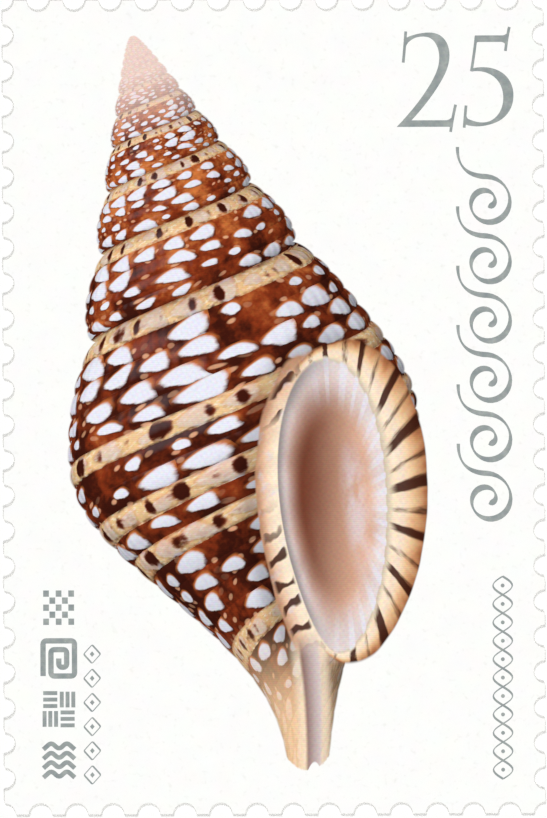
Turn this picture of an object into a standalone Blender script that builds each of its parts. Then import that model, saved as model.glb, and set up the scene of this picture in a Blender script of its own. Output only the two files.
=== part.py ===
"""A self-adhesive postage stamp, lying face up: one sheet of paper with a perforated edge.

Units are metres and +Z is up. The origin is the middle of the underside. The picture's
top edge faces +Y. Run it with: blender --background --python part.py
"""

import math

import bpy

# Perforation gauges count the holes in 20 mm of edge.
GAUGE_LENGTH = 0.020
GAUGE_ACROSS = 13.0
GAUGE_DOWN = 13.25
PITCHES_ACROSS = 15
PITCHES_DOWN = 23

HOLE_RADIUS = 0.00048
TOOTH_CORNER_RADIUS = 0.00006
THICKNESS = 0.00012

HOLE_SEGMENTS = 10
CORNER_SEGMENTS = 2

PAPER_COLOUR = (0.955, 0.950, 0.930, 1.0)
PAPER_ROUGHNESS = 0.55

PITCH_ACROSS = GAUGE_LENGTH / GAUGE_ACROSS
PITCH_DOWN = GAUGE_LENGTH / GAUGE_DOWN
WIDTH = PITCHES_ACROSS * PITCH_ACROSS
HEIGHT = PITCHES_DOWN * PITCH_DOWN

QUARTER_TURN = math.pi / 2

# A tooth's rounded corner touches both the straight tooth end and the round hole.
CORNER_ANGLE = math.asin(TOOTH_CORNER_RADIUS / (HOLE_RADIUS + TOOTH_CORNER_RADIUS))
CORNER_OFFSET = (HOLE_RADIUS + TOOTH_CORNER_RADIUS) * math.cos(CORNER_ANGLE)


def clear_scene():
    """Removes every object that the start-up file holds."""
    for obj in list(bpy.data.objects):
        bpy.data.objects.remove(obj, do_unlink=True)


def arc(centre_x, centre_y, radius, start, end, segments):
    """Points of an arc from the start angle to the end angle, both included."""
    points = []
    for step in range(segments + 1):
        angle = start + (end - start) * step / segments
        points.append((centre_x + radius * math.cos(angle), centre_y + radius * math.sin(angle)))
    return points


def tooth_end(centre_x):
    """The corner where a tooth stops short of the hole whose centre is at centre_x."""
    return arc(
        centre_x - CORNER_OFFSET,
        TOOTH_CORNER_RADIUS,
        TOOTH_CORNER_RADIUS,
        -QUARTER_TURN,
        -CORNER_ANGLE,
        CORNER_SEGMENTS,
    )


def tooth_start(centre_x):
    """The corner where the next tooth begins, past the hole whose centre is at centre_x."""
    return arc(
        centre_x + CORNER_OFFSET,
        TOOTH_CORNER_RADIUS,
        TOOTH_CORNER_RADIUS,
        math.pi + CORNER_ANGLE,
        math.pi + QUARTER_TURN,
        CORNER_SEGMENTS,
    )


def hole_wall(centre_x, start, end, segments):
    """The wall of a hole without its end points, which the tooth corners already have."""
    return arc(centre_x, 0.0, HOLE_RADIUS, start, end, segments)[1:-1]


def side_outline(pitch, pitches):
    """One side along +X with the paper on its +Y side, from corner hole to corner hole.

    Each corner hole is shared by two sides, so a side starts and ends halfway round it.
    """
    wall_start = math.pi - CORNER_ANGLE
    wall_end = CORNER_ANGLE
    half_segments = HOLE_SEGMENTS // 2
    last = pitches * pitch

    points = arc(0.0, 0.0, HOLE_RADIUS, QUARTER_TURN / 2, wall_end, half_segments // 2)[:-1]
    points += tooth_start(0.0)
    for number in range(1, pitches):
        centre_x = number * pitch
        points += tooth_end(centre_x)
        points += hole_wall(centre_x, wall_start, wall_end, HOLE_SEGMENTS)
        points += tooth_start(centre_x)
    points += tooth_end(last)
    points += hole_wall(last, wall_start, math.pi - QUARTER_TURN / 2, half_segments // 2)
    return points


def sheet_outline():
    """The whole perforated edge, counter-clockwise from the lower left corner."""
    sides = [
        (PITCH_ACROSS, PITCHES_ACROSS, -WIDTH / 2, -HEIGHT / 2),
        (PITCH_DOWN, PITCHES_DOWN, WIDTH / 2, -HEIGHT / 2),
        (PITCH_ACROSS, PITCHES_ACROSS, WIDTH / 2, HEIGHT / 2),
        (PITCH_DOWN, PITCHES_DOWN, -WIDTH / 2, HEIGHT / 2),
    ]
    outline = []
    for number, (pitch, pitches, corner_x, corner_y) in enumerate(sides):
        turn = number * QUARTER_TURN
        cosine = math.cos(turn)
        sine = math.sin(turn)
        for x, y in side_outline(pitch, pitches):
            outline.append((corner_x + cosine * x - sine * y, corner_y + sine * x + cosine * y))
    return outline


def make_material(name, colour, roughness):
    """A plain matt material in the part's own colour."""
    material = bpy.data.materials.new(name)
    material.use_nodes = True
    shader = material.node_tree.nodes["Principled BSDF"]
    shader.inputs["Base Color"].default_value = colour
    shader.inputs["Roughness"].default_value = roughness
    shader.inputs["Metallic"].default_value = 0.0
    material.diffuse_color = colour
    return material


def make_stamp(collection):
    """The stamp: its flat outline, filled and thickened to the paper's thickness."""
    curve = bpy.data.curves.new("stamp", "CURVE")
    curve.dimensions = "2D"
    curve.fill_mode = "BOTH"
    curve.extrude = THICKNESS / 2

    outline = sheet_outline()
    spline = curve.splines.new("POLY")
    spline.points.add(len(outline) - 1)
    for point, (x, y) in zip(spline.points, outline):
        point.co = (x, y, 0.0, 1.0)
    spline.use_cyclic_u = True

    stamp = bpy.data.objects.new("stamp", curve)
    stamp.location = (0.0, 0.0, THICKNESS / 2)
    collection.objects.link(stamp)
    curve.materials.append(make_material("stamp_paper", PAPER_COLOUR, PAPER_ROUGHNESS))
    return stamp


def main():
    """Clears the scene and builds the stamp in a collection of its own."""
    clear_scene()
    collection = bpy.data.collections.new("postage_stamp")
    bpy.context.scene.collection.children.link(collection)
    make_stamp(collection)


if __name__ == "__main__":
    main()
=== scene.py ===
"""Looks for a postage stamp that lies face up on a pale surface.

The stamp is one sheet: a coated paper with a perforated edge on a thin clear adhesive. Its
face carries a picture of a spired sea shell in warm inks, and numerals and ornaments in grey
ink. The picture is worked out point by point in the shader, and the grey shapes are drawn
with a broad pen into the mesh of the face.

Lengths of the mesh are in metres. Lengths on the printed face are in millimetres from the
middle of the stamp, with +Y towards the picture's top.
"""

import logging
import math
from collections.abc import Callable, Iterable, Sequence
from dataclasses import dataclass, field
from enum import Enum
from typing import Any, Union

import bpy
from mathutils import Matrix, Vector
from mathutils.geometry import delaunay_2d_cdt


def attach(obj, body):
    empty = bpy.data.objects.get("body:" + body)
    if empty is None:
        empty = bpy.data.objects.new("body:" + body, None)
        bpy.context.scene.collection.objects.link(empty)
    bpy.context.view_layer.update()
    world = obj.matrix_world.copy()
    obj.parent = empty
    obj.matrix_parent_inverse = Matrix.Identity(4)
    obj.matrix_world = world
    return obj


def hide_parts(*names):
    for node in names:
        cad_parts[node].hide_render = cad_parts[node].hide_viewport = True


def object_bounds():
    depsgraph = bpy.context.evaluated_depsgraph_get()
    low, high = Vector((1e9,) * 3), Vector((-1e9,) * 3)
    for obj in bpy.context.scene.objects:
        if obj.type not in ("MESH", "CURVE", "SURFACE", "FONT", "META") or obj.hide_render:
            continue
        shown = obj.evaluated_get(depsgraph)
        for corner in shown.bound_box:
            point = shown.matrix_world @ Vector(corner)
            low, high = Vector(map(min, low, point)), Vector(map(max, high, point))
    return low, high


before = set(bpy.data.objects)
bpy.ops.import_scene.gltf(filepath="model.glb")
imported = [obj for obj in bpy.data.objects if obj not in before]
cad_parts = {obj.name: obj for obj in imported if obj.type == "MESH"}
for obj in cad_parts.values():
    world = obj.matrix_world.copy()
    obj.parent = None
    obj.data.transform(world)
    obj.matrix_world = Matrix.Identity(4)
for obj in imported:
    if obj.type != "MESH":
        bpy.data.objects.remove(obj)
CAD_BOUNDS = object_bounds()

LOG = logging.getLogger("postage_stamp")

MM = 0.001
QUARTER_TURN = math.pi / 2
FULL_TURN = 2 * math.pi
BAKE_MAP = "OFBake"

Point = tuple[float, float]
Outline = list[Point]
Colour = tuple[float, float, float, float]


def display(red: float, green: float, blue: float) -> Colour:
    """A linear colour from display values of 0 to 255.

    Args:
        red: The display value of red.
        green: The display value of green.
        blue: The display value of blue.

    Returns:
        The colour that Blender's sockets take.
    """
    shares = [value / 255 for value in (red, green, blue)]
    linear = [c / 12.92 if c <= 0.04045 else ((c + 0.055) / 1.055) ** 2.4 for c in shares]
    return (linear[0], linear[1], linear[2], 1.0)


class Ink(Enum):
    """The printed colours, as they look on the paper."""

    DARK_BROWN = display(62, 20, 10)
    RED_BROWN = display(136, 52, 22)
    ORANGE = display(212, 122, 62)
    TAN = display(236, 198, 146)
    CREAM = display(250, 232, 206)
    PEACH = display(240, 200, 158)
    SALMON = display(226, 168, 130)
    PINK = display(240, 214, 204)
    LILAC = display(228, 214, 212)
    WHITE = display(229, 230, 242)
    DEEP_BROWN = display(112, 58, 40)
    GREY = display(150, 157, 156)
    PALE_GREY = display(166, 172, 169)
    DARK_GREY = display(139, 148, 149)


def node_maths(operation: str, swapped: bool = False) -> Callable[..., "Field"]:
    """Makes a method of Field out of a Math node's operation.

    Args:
        operation: The Math node's operation.
        swapped: Whether the field is the node's last input, and not its first.

    Returns:
        The method, which takes the node's other inputs.
    """

    def method(self: "Field", *others: "Number") -> "Field":
        """The result of a Math node on this number and the others."""
        inputs = (*others, self) if swapped else (self, *others)
        return self.board.math(operation, *inputs)

    return method


class Field:
    """A number that changes over the sheet: a shader socket that works in Python sums."""

    __add__ = __radd__ = node_maths("ADD")
    __sub__, __rsub__ = node_maths("SUBTRACT"), node_maths("SUBTRACT", True)
    __mul__ = __rmul__ = node_maths("MULTIPLY")
    __truediv__, __rtruediv__ = node_maths("DIVIDE"), node_maths("DIVIDE", True)
    __pow__, __rpow__ = node_maths("POWER"), node_maths("POWER", True)
    __lt__, __gt__ = node_maths("LESS_THAN"), node_maths("GREATER_THAN")
    __abs__ = node_maths("ABSOLUTE")
    sine, cosine, root = node_maths("SINE"), node_maths("COSINE"), node_maths("SQRT")
    floor, fraction, sign = node_maths("FLOOR"), node_maths("FRACT"), node_maths("SIGN")
    at_least, softly_at_least = node_maths("MAXIMUM"), node_maths("SMOOTH_MAX")
    at_most, softly_at_most = node_maths("MINIMUM"), node_maths("SMOOTH_MIN")
    angle_from, logarithm = node_maths("ARCTAN2"), node_maths("LOGARITHM")

    def __init__(self, board: "Board", socket: bpy.types.NodeSocket) -> None:
        """Wraps an output socket of that board's tree."""
        self.board = board
        self.socket = socket

    def arcsine(self) -> "Field":
        """The angle with this sine."""
        return self.board.math("ARCSINE", self.at_least(-1.0).at_most(1.0))

    def step(self, low: float, high: float) -> "Field":
        """A smooth rise from 0 at low to 1 at high, or a fall where low is above high.

        Args:
            low: Where the result is 0.
            high: Where the result is 1.

        Returns:
            The share, from 0 to 1.
        """
        node = self.board.node(
            "ShaderNodeMapRange",
            {"interpolation_type": "SMOOTHSTEP"},
            {"Value": self, "From Min": low, "From Max": high, "To Min": 0.0, "To Max": 1.0},
        )
        return Field(self.board, node.outputs["Result"])


Number = Union[Field, float]


class Tint:
    """A colour that changes over the sheet."""

    def __init__(self, board: "Board", value: Any) -> None:
        """Wraps a colour socket, an Ink or a plain colour, for that board's tree."""
        self.board = board
        self.value = value

    def over(self, other: Any, share: Number, blend: str = "MIX") -> "Tint":
        """This colour with another one painted over it.

        Args:
            other: The colour on top: an Ink, a Tint, a plain colour or a number.
            share: How much of the upper colour shows.
            blend: The Mix node's way of blending.

        Returns:
            The blended colour.
        """
        node = self.board.node(
            "ShaderNodeMix",
            {"data_type": "RGBA", "blend_type": blend, "clamp_factor": True},
            {0: share, 6: self, 7: other},
        )
        return Tint(self.board, node.outputs[2])

    def shaded(self, light: Any) -> "Tint":
        """This colour times a number or a colour."""
        return self.over(light, 1.0, "MULTIPLY")


class Board:
    """One material's node tree, with the places on the sheet that its nodes read."""

    def __init__(self, name: str, gloss: float = 0.5) -> None:
        """Makes a material with a Principled shader.

        Args:
            name: The material's name.
            gloss: How strong its reflections are, 0.5 for those of clear plastic.
        """
        self.material = bpy.data.materials.new(name)
        self.material.use_nodes = True
        self.tree = self.material.node_tree
        self.shader = self.tree.nodes["Principled BSDF"]
        self.shader.inputs["Specular IOR Level"].default_value = gloss
        place = self.node("ShaderNodeTexCoord", {}, {})
        apart = self.node("ShaderNodeSeparateXYZ", {}, {0: place.outputs["Object"]})
        self.x, self.y, self.z = [Field(self, socket) / MM for socket in apart.outputs]

    def node(
        self, kind: str, settings: dict[str, Any], sockets: dict[Any, Any]
    ) -> bpy.types.Node:
        """Adds a node.

        Args:
            kind: The node's type.
            settings: The node's own settings, which are set first.
            sockets: The values or links of its input sockets, by name or place.

        Returns:
            The new node.
        """
        node = self.tree.nodes.new(kind)
        for name, value in settings.items():
            setattr(node, name, value)
        for name, value in sockets.items():
            self.join(value, node.inputs[name])
        return node

    def join(self, value: Any, socket: bpy.types.NodeSocket) -> None:
        """Links or sets an input socket.

        Args:
            value: A Field, a Tint, an Ink, an output socket or a plain value.
            socket: The input socket.
        """
        if isinstance(value, Tint):
            value = value.value
        if isinstance(value, Ink):
            value = value.value
        if isinstance(value, Field):
            value = value.socket
        if isinstance(value, bpy.types.NodeSocket):
            self.tree.links.new(value, socket)
        else:
            socket.default_value = value

    def math(self, operation: str, *inputs: Number) -> Field:
        """The result of a Math node on those inputs."""
        node = self.node("ShaderNodeMath", {"operation": operation}, dict(enumerate(inputs)))
        return Field(self, node.outputs[0])

    def point(self, x: Number, y: Number, z: Number = 0.0) -> bpy.types.NodeSocket:
        """A vector of three numbers."""
        return self.node("ShaderNodeCombineXYZ", {}, {0: x, 1: y, 2: z}).outputs[0]

    def noise(
        self, x: Number, y: Number, z: Number = 0.0, detail: float = 2.0, rough: float = 0.5
    ) -> Field:
        """Smooth noise of about 0.5, whose grains are 1 unit wide.

        Args:
            x: The first coordinate.
            y: The second coordinate.
            z: The third coordinate, which gives another pattern for each number.
            detail: How many finer layers it has.
            rough: How strong the finer layers are.

        Returns:
            The noise.
        """
        node = self.node(
            "ShaderNodeTexNoise",
            {"noise_dimensions": "3D"},
            {"Vector": self.point(x, y, z), "Scale": 1.0, "Detail": detail, "Roughness": rough},
        )
        return Field(self, node.outputs[0])

    def grains(
        self, size: float, pattern: float, detail: float = 2.0, rough: float = 0.5
    ) -> Field:
        """Smooth noise over the sheet, with grains that are that many millimetres wide."""
        return self.noise(self.x / size, self.y / size, pattern, detail, rough)

    def speckle(self, size: float, depth: float, pattern: float) -> bpy.types.NodeSocket:
        """A colour of about 1 that varies over the sheet, each of its parts on its own.

        Args:
            size: The width of its grains in millimetres.
            depth: How far it varies, from the lowest to the highest.
            pattern: Another number gives another pattern.

        Returns:
            The colour, which another colour is multiplied by.
        """
        colours = self.grains(size, pattern, 1.0).socket.node.outputs["Color"]
        sockets = {0: colours, 1: (depth,) * 3, 2: (1 - depth / 2,) * 3}
        return self.node("ShaderNodeVectorMath", {"operation": "MULTIPLY_ADD"}, sockets).outputs[0]

    def chance(self, x: Number, y: Number) -> Field:
        """A number from 0 to 1 that is the same all over one whole-numbered cell."""
        settings, place = {"noise_dimensions": "3D"}, {"Vector": self.point(x, y)}
        return Field(self, self.node("ShaderNodeTexWhiteNoise", settings, place).outputs["Value"])

    def finish(
        self, colour: Tint, rough: Number, relief: Field, strength: float = 1.0, coat: float = 0.0
    ) -> bpy.types.Material:
        """Joins the shader's sockets.

        Args:
            colour: The base colour.
            rough: The roughness.
            relief: The height that the bump follows, in millimetres.
            strength: The bump's strength.
            coat: The weight of a clear coat.

        Returns:
            The finished material.
        """
        sockets = {"Strength": strength, "Distance": MM, "Height": relief}
        bump = self.node("ShaderNodeBump", {}, sockets).outputs["Normal"]
        values = {"Base Color": colour, "Roughness": rough, "Coat Weight": coat, "Normal": bump}
        for name, value in values.items():
            self.join(value, self.shader.inputs[name])
        return self.material


@dataclass(frozen=True)
class Paper:
    """The coated white paper of the face."""

    colour: Colour = display(248, 248, 246)
    fleck: Colour = display(226, 226, 220)
    roughness: float = 0.58
    gloss: float = 0.04
    roughness_swing: float = 0.14
    cloud_size: float = 0.9
    cloud_depth: float = 0.055
    fleck_size: float = 0.24
    fleck_share: float = 0.42
    drift_rate: float = 0.9
    drift: float = 2.0
    grain_size: float = 0.10
    grain_depth: float = 0.02
    coating_size: float = 0.7
    tooth_size: Point = (0.45, 0.38)
    tooth_height: float = 0.0035

    def tint(self, board: Board) -> Tint:
        """The paper's colour, with faint clouds and flecks of fibre.

        Args:
            board: The material's node tree.

        Returns:
            The colour.
        """
        x, y = board.x * self.drift_rate, board.y * self.drift_rate
        drift = board.noise(x, y, 4.0) * self.drift
        x, y = board.x / self.fleck_size + drift, board.y / self.fleck_size - drift
        flecks = board.noise(x, y, 2.0, 3.0).step(0.56, 0.80) * self.fleck_share
        clouds = board.speckle(self.cloud_size, self.cloud_depth, 1.0)
        grain = board.speckle(self.grain_size, self.grain_depth, 5.0)
        return Tint(board, self.colour).over(self.fleck, flecks).shaded(clouds).shaded(grain)

    def relief(self, board: Board) -> Field:
        """The paper's own unevenness, in millimetres."""
        x, y = board.x / self.tooth_size[0], board.y / self.tooth_size[1]
        return board.noise(x, y, 6.0, 4.0, 0.6) * self.tooth_height

    def sheen(self, board: Board) -> Field:
        """The paper's roughness, which changes a little over the coating."""
        least = self.roughness - self.roughness_swing / 2
        return board.grains(self.coating_size, 8.0) * self.roughness_swing + least

    def material(self) -> bpy.types.Material:
        """The finish of the bare face."""
        board = Board("face_paper", self.gloss)
        return board.finish(self.tint(board), self.sheen(board), self.relief(board))


@dataclass(frozen=True)
class Screen:
    """The printer's screen: fine rows of dots at another angle for each ink.

    Its depths are multiples of the depth that a print asks for, and the coarse size is a
    multiple of the grain.
    """

    pitch: float = 0.150
    angles: tuple[float, float, float] = (15.0, 75.0, 45.0)
    line_pitch: float = 0.084
    line_depth: float = 0.8
    grain: float = 0.085
    fine_depth: float = 4.5
    coarse_size: float = 2.4
    coarse_depth: float = 2.6

    def dots(self, board: Board, degrees: float) -> Field:
        """The dots of one ink.

        Args:
            board: The material's node tree.
            degrees: The angle of its rows.

        Returns:
            -1 between the dots to 1 on them.
        """
        turn, rate = math.radians(degrees), math.pi / self.pitch
        cosine, sine = math.cos(turn) * rate, math.sin(turn) * rate
        along = board.x * cosine + board.y * sine
        across = board.y * cosine - board.x * sine
        return along.sine() * across.sine()

    def over(self, board: Board, colour: Tint, depth: float) -> Tint:
        """A printed colour, broken up a little by the screen.

        Args:
            board: The material's node tree.
            colour: The printed colour.
            depth: How much darker the dots are than the colour.

        Returns:
            The screened colour.
        """
        lines = (board.y * (FULL_TURN / self.line_pitch)).sine()
        lines = lines * (depth * self.line_depth) + 1.0
        inks = [self.dots(board, degrees) * depth + lines for degrees in self.angles]
        coarse_grain = self.grain * self.coarse_size
        coarse = board.speckle(coarse_grain, depth * self.coarse_depth, 3.0)
        fine = board.speckle(self.grain, depth * self.fine_depth, 9.0)
        return colour.shaded(board.point(*inks)).shaded(coarse).shaded(fine)


@dataclass(frozen=True)
class GreyPrint:
    """Grey ink on the paper."""

    paper: Paper
    screen: Screen
    roughness: float = 0.50
    cloud_size: float = 0.42
    wear_size: float = 0.07
    wear_share: float = 0.35
    wear_height: float = 0.0006
    dot_depth: float = 0.022

    def material(self) -> bpy.types.Material:
        """The finish of the numerals and ornaments.

        Returns:
            The material.
        """
        board = Board("grey_ink", self.paper.gloss)
        cloud = board.grains(self.cloud_size, 3.0, 3.0, 0.55)
        wear = board.grains(self.wear_size, 7.0)
        ink = (
            Tint(board, Ink.GREY)
            .over(Ink.PALE_GREY, cloud.step(0.46, 0.72))
            .over(Ink.DARK_GREY, cloud.step(0.50, 0.28))
            .over(self.paper.colour, wear.step(0.66, 0.84) * self.wear_share)
        )
        relief = self.paper.relief(board) + wear * self.wear_height
        return board.finish(self.screen.over(board, ink, self.dot_depth), self.roughness, relief)


@dataclass(frozen=True)
class CutEdge:
    """The side of the sheet: the die's cut through paper and adhesive, its paper a little darker
    than the face, partly as painted shade.
    """

    split_height: float
    # The cut's paper colour is partly its own tone and partly painted shade: darker than the face,
    # it gives the edge a thin dark outline from above.
    core_tone_and_shade: Colour = display(238, 237, 233)
    fibre: Colour = display(224, 222, 215)
    glue: Colour = display(214, 212, 203)
    fibre_width: float = 0.02
    fibre_depth: float = 0.012
    fibre_height: float = 0.0015
    blur: float = 0.004
    roughness: float = 0.85
    glue_roughness: float = 0.35

    def material(self) -> bpy.types.Material:
        """The finish of the cut.

        Returns:
            The material.
        """
        board = Board("cut_edge")
        x, y, z = board.x, board.y, board.z
        x, y = (x + y) / self.fibre_width, (x - y) / self.fibre_width
        fibres = board.noise(x, y, z / self.fibre_depth, 3.0, 0.6)
        low = z.step(self.split_height + self.blur, self.split_height - self.blur)
        # Painted shade in part: the cut's paper is darker than the face, so its rounded rim reads
        # as a dark line.
        colour = Tint(board, self.core_tone_and_shade).over(self.fibre, fibres.step(0.52, 0.75))
        relief = fibres * (1 - low) * self.fibre_height
        rough = self.roughness - low * (self.roughness - self.glue_roughness)
        return board.finish(colour.over(self.glue, low), rough, relief)


@dataclass(frozen=True)
class Adhesive:
    """The back: a clear pressure-sensitive coating over the paper."""

    colour: Colour = display(232, 229, 216)
    dark: Colour = display(218, 213, 194)
    pale: Colour = display(244, 243, 236)
    drag_size: Point = (3.0, 0.35)
    drag_share: float = 0.5
    drag_height: float = 0.012
    cloud_size: float = 2.2
    cloud_share: float = 0.6
    cloud_height: float = 0.010
    roughness: float = 0.16
    drag_roughness: float = 0.16
    relief_strength: float = 0.6
    coat: float = 0.35

    def material(self) -> bpy.types.Material:
        """The finish of the back.

        Returns:
            The material.
        """
        board = Board("adhesive_back")
        x, y = board.x / self.drag_size[0], board.y / self.drag_size[1]
        drag = board.noise(x, y, 1.0, 3.0)
        cloud = board.grains(self.cloud_size, 5.0)
        clouds = cloud.step(0.42, 0.70) * self.cloud_share
        marks = drag.step(0.58, 0.75) * self.drag_share
        colour = Tint(board, self.colour).over(self.dark, clouds).over(self.pale, marks)
        relief = drag * self.drag_height + cloud * self.cloud_height
        rough = drag * self.drag_roughness + self.roughness
        return board.finish(colour, rough, relief, self.relief_strength, self.coat)


@dataclass(frozen=True)
class Spot:
    """A place on the outside of the pictured shell.

    Attributes:
        board: The material's node tree.
        along: The distance down the axis from the apex.
        angle: The angle round the axis, 0 towards the viewer.
        down: The share of the way down the whorl.
        turn: The number of turns round the axis.
    """

    board: Board
    along: Field
    angle: Field
    down: Field
    turn: Field

    def noise(
        self, round_rate: float, down_rate: float, pattern: float, *detail: float
    ) -> Field:
        """Noise with that many grains to a turn and to a whorl's height."""
        return self.board.noise(self.turn * round_rate, self.down * down_rate, pattern, *detail)


@dataclass(frozen=True)
class Whorls:
    """The coiled outside of the pictured shell, seen from the side.

    A place on the shell is its distance down the axis from the apex and its angle round the
    axis, both taken from the place on the paper. Turns are counted by the logarithm of the
    distance, because each whorl is larger than the last by the same factor.
    """

    apex: Point = (-6.0, 15.85)
    tip: Point = (2.7, -15.95)
    length_shown: float = 32.25
    growth: float = 1.40
    last_suture: float = 11.2
    swelling: float = 0.125
    spire_slope: float = 0.385
    base_slope: float = 0.60
    base_end: float = 30.6
    canal_width: float = 1.05
    canal_start: float = 27.0
    canal_taper: float = 0.06
    canal_blend: float = 2.6
    base_blend: float = 4.5
    bend_start: float = 24.0
    bend: float = 0.016
    arch_power: float = 0.62
    cords: float = 5.0
    cord_power: float = 0.7
    cord_height: float = 0.020
    ribs: float = 11.0
    rib_end: float = 2.2
    rib_height: float = 0.012
    growth_lines: float = 67.0
    line_height: float = 0.0016
    line_sway: float = 1.2
    sway_rate: float = 5.0
    scales: float = 19.0
    least_scale: float = 0.44
    scale_growth: float = 0.58
    scale_shift: Point = (0.8, 0.75)
    scale_lean: float = 0.6
    scale_taper: float = 1.25
    scale_reach: Point = (0.45, 0.46)
    speck_columns: float = 2.7
    speck_rows: float = 2.3
    apex_gap: float = 0.004
    apex_roundness: float = 0.22
    ragged_size: float = 0.2
    ragged_depth: float = 0.20
    end_middle: float = 0.25
    end_reach: float = 2.4
    end_roundness: float = 0.66
    end_slant: float = 0.16
    edge_blur: float = 0.05
    end_blur: float = 0.06
    probe_down: float = 0.03
    probe_round: float = 0.012
    light: tuple[float, float, float] = (-0.42, 0.46, 0.78)
    light_swing: float = 0.68
    least_light: float = 0.34
    suture_shade: float = 0.30
    rim_shade: float = 0.20

    def places(self, board: Board) -> tuple[Field, Field]:
        """The distance down the axis and to its right, for each point of the paper.

        Args:
            board: The material's node tree.

        Returns:
            Both distances.
        """
        across, down = self.tip[0] - self.apex[0], self.tip[1] - self.apex[1]
        length = math.hypot(across, down)
        across, down = across / length, down / length
        x = board.x - self.apex[0]
        y = board.y - self.apex[1]
        along = (x * across + y * down).at_least(self.apex_gap)
        lean = (along - self.bend_start).at_least(0.0)
        return along, y * across - x * down + lean * lean * self.bend

    def envelope(self, along: Field) -> Field:
        """The shell's half width without its whorls.

        Args:
            along: The distance down the axis.

        Returns:
            The half width.
        """
        slope = self.spire_slope * self.spire_slope
        spire = (along * (along * slope + self.apex_roundness)).root()
        past_start = (along - self.canal_start).at_least(0.0)
        canal = self.canal_width - past_start * self.canal_taper
        base = (self.base_end - along) * self.base_slope
        base = base.softly_at_least(canal, self.canal_blend)
        return spire.softly_at_most(base, self.base_blend)

    def coil(self, along: Field, angle: Field) -> tuple[Field, Field, Field]:
        """Where a point lies on the coil.

        Args:
            along: The distance down the axis.
            angle: The angle round the axis, 0 towards the viewer.

        Returns:
            The turns past the last suture, the share of the way down the whorl, and the
            number of turns round the axis.
        """
        turns = (along / self.last_suture).logarithm(self.growth) + angle / FULL_TURN
        whorl = turns.at_most(0.0).floor()
        down = (self.growth ** (turns - whorl) - 1.0) / (self.growth - 1)
        return turns, down, whorl - angle / FULL_TURN

    def radius(self, along: Field, angle: Field) -> Field:
        """The shell's distance from its axis, with whorls, cords, ribs and growth lines.

        Args:
            along: The distance down the axis.
            angle: The angle round the axis.

        Returns:
            The distance.
        """
        turns, down, turn = self.coil(along, angle)
        past_shoulder = (down - 0.5).at_least(0.0) * (turns > 0.0)
        arch = ((down - past_shoulder) * math.pi).sine().at_least(0.0) ** self.arch_power
        cord = abs((down * (self.cords * math.pi)).sine()) ** self.cord_power
        fade = 1 - (down / self.rib_end).at_most(1.0)
        rib = (turn * (self.ribs * FULL_TURN)).cosine() * fade
        sway = (down * self.sway_rate).sine() * self.line_sway
        line = (turn * (self.growth_lines * FULL_TURN) + sway).cosine()
        relief = arch * self.swelling + cord * self.cord_height + rib * self.rib_height
        return self.envelope(along) * (relief + line * self.line_height + 1.0)

    def ground(self, spot: Spot) -> Tint:
        """The brown ground: dark flames along the growth lines, finely mottled.

        Args:
            spot: The place on the shell.

        Returns:
            The colour before light and shade.
        """
        mottle = (spot.noise(62.0, 11.0, 11.0, 3.0, 0.6) - 0.5) * 0.30
        warm = spot.noise(15.0, 1.5, 0.0, 4.0, 0.6) + mottle + spot.along.step(16.0, 5.0) * 0.15
        colour = Tint(spot.board, Ink.DARK_BROWN).over(Ink.RED_BROWN, warm.step(0.42, 0.63))
        return colour.over(Ink.ORANGE, warm.step(0.58, 0.82) * 0.92)

    def specks(self, spot: Spot, turn: Field) -> Field:
        """Small pale dots, strewn between the scales.

        Args:
            spot: The place on the shell.
            turn: The number of turns round the axis, swayed a little.

        Returns:
            How much of a dot shows.
        """
        column = turn * (self.scales * self.speck_columns)
        row = spot.down * (self.cords * self.speck_rows)
        chance = spot.board.chance(column.floor() + 3.0, row.floor() + 17.0).step(0.62, 0.96)
        across, up = column.fraction() - 0.5, row.fraction() - 0.5
        dot = across * across + up * up
        return (dot + chance * 0.05).step(0.16, 0.06) * chance * 0.9

    def markings(self, spot: Spot) -> Tint:
        """The shell's own colours: dark flames, tan cords with brown bars, and pale scales.

        Args:
            spot: The place on the shell.

        Returns:
            The colour before light and shade.
        """
        board = spot.board
        sway = spot.noise(6.0, 2.0, 3.0) - 0.5
        fray = spot.noise(80.0, 22.0, 1.0, 3.0) - 0.5
        row = spot.down * self.cords + sway * 0.30 + fray * 0.10
        cord = row.floor()
        height = row.fraction() - 0.5

        pale_cord = (cord * 0.4 + 0.1).fraction() < 0.30
        band = pale_cord * (abs(height) + fray * 0.45).step(0.60, 0.32)
        tan = Tint(board, Ink.TAN)
        tan = tan.over(Ink.CREAM, spot.noise(110.0, 34.0, 5.0).step(0.50, 0.66) * 0.75)
        tan = tan.over(Ink.ORANGE, spot.noise(30.0, 8.0, 6.0).step(0.50, 0.75) * 0.45)

        column = spot.turn * self.scales + board.chance(cord, 7.0) * 7.0 + sway * 1.2
        cell = column.floor()
        size = board.chance(cord, cell) * self.scale_growth + self.least_scale
        kind_chance = board.chance(cell + 31.0, cord + 5.0)
        rise_chance = board.chance(cell + 57.0, cord + 11.0)
        place = column.fraction() - 0.5 + (kind_chance - 0.5) * (1 - size) * self.scale_shift[0]
        lift = height + (rise_chance - 0.5) * (1 - size) * self.scale_shift[1]
        leaning = place + lift * (kind_chance - 0.4) * self.scale_lean
        wide = leaning / (size * self.scale_reach[0])
        tall = lift * (leaning * self.scale_taper + 1.0) / (size * self.scale_reach[1])
        reach = wide * wide + tall * tall + fray * 0.60
        shown = (kind_chance > 0.10) * (1 - band * 0.70)
        above = lift.step(0.30, -0.30)
        bloom = Tint(board, Ink.WHITE).over(Ink.LILAC, reach.step(0.45, 1.1) * 0.6)

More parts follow.
